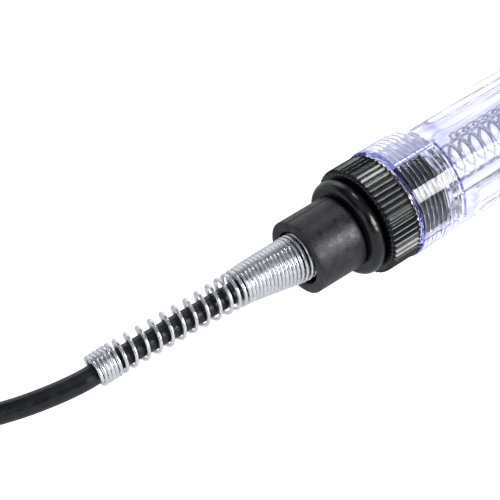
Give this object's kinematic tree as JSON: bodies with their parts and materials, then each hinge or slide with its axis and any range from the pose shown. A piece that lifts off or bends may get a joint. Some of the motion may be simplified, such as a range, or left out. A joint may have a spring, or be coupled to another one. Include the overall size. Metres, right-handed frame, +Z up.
{
  "type": "circuit test light",
  "caption": "Circuit test light: clear handle with a bulb inside, steel probe, knurled cap, sprung cable boot, and a cord with an earth clip.",
  "frame": {"origin": "below the middle of the tool without its cord, on the surface that it lies on", "axes": "+X along the tool towards the probe's point, +Z up, the cord leaves towards -X"},
  "size_m": [0.4273, 0.0442, 0.0262],
  "materials": {
    "clear_plastic": "clear, polished, slightly blue",
    "bulb_glass": "clear",
    "black_plastic": "satin black",
    "cord_jacket": "satin black",
    "black_rubber": "matte black",
    "bright_plated_wire": "bright zinc plated",
    "nickel_plate": "nickel plated",
    "tool_steel": "ground",
    "brass": "satin",
    "copper": "bright copper",
    "tungsten": "drawn wire",
    "red_vinyl": "dipped vinyl",
    "strap_weave": "woven strap"
  },
  "bodies": {
    "barrel": {"barrel": "clear_plastic", "contact_spring": "bright_plated_wire", "spring_seat": "brass", "bulb_tip": "nickel_plate", "bulb_insulator": "black_plastic", "bulb_shell": "brass", "bulb_glass": "bulb_glass", "bulb_filament": "tungsten", "bulb_cage": "nickel_plate", "probe_bush": "brass", "nose_washer": "black_rubber", "nose_ferrule": "nickel_plate", "probe": "tool_steel"},
    "cord_end": {"gland_collar": "black_plastic", "boot_half_near": "black_plastic", "boot_half_far": "black_plastic", "strain_relief_spring": "bright_plated_wire", "cord": "cord_jacket", "cord_hank": "cord_jacket", "cord_tail": "cord_jacket", "cord_tie": "strap_weave", "cord_stop": "brass", "cord_conductor": "copper", "contact_carrier": "black_plastic", "rear_contact": "brass", "clip_fixed_jaw": "nickel_plate", "clip_fixed_grip": "red_vinyl", "clip_pin": "tool_steel", "clip_spring": "bright_plated_wire", "clip_crimp": "brass", "clip_conductor": "copper"},
    "cap_ring": {"knurled_cap": "black_plastic"},
    "clip_jaw": {"clip_moving_jaw": "nickel_plate", "clip_moving_grip": "red_vinyl"}
  },
  "joints": [
    {"name": "cord_travel", "type": "slide", "parent": "barrel", "child": "cord_end", "axis": [-1, 0, 0], "range_m": [0, 0.0087], "deforming": ["contact_spring"]},
    {"name": "cap_turn", "type": "hinge", "parent": "cord_end", "child": "cap_ring", "pos_m": [-0.0833, 0, 0.01285], "axis": [-1, 0, 0], "range_deg": [0, 2520]},
    {"name": "clip_jaw_open", "type": "hinge", "parent": "cord_end", "child": "clip_jaw", "pos_m": [-0.29, 0.0097, 0.0209], "axis": [0, 0, -1], "range_deg": [0, 15], "stiffness_Nm_per_rad": 0.05, "springref_deg": -57.3, "deforming": ["clip_spring"]}
  ],
  "couplings": [
    {"joint": "cap_turn", "follows": "cord_travel", "rad_per_m": 5026.5}
  ]
}
